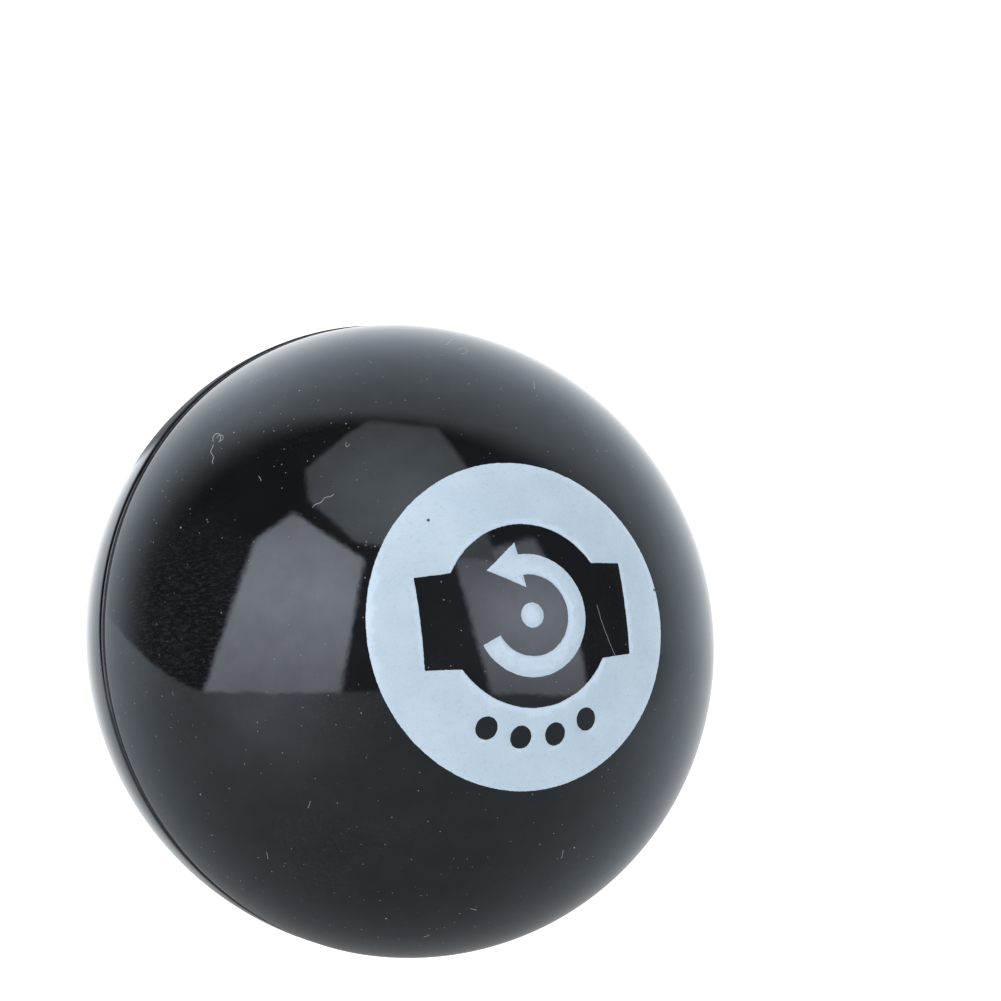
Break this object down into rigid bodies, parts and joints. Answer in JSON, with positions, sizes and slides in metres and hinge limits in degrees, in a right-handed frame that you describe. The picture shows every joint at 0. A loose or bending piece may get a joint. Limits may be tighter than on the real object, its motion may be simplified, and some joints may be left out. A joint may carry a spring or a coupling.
{
  "type": "friction ball",
  "caption": "Hollow glossy black rubber ball with a bonded equator seam and a printed disc, pressed on a screw-down watch back and turned by hand to undo it.",
  "frame": {"origin": "centre of the ball", "axes": "+Z out through the middle of the printed disc, with the seam in the plane z = 0; +Y towards the top of the printed mark, away from its row of dots; +X to the right of the mark"},
  "size_m": [0.065, 0.065, 0.065],
  "materials": {
    "black_rubber": "gloss",
    "seam_rubber": "satin",
    "gum_rubber": "satin",
    "print_ink": "satin"
  },
  "bodies": {
    "root": {"printed_half_shell": "black_rubber", "plain_half_shell": "black_rubber", "seam_cement": "seam_rubber", "sealing_plug": "gum_rubber", "print_field": "print_ink", "print_arrow": "print_ink"}
  },
  "joints": []
}
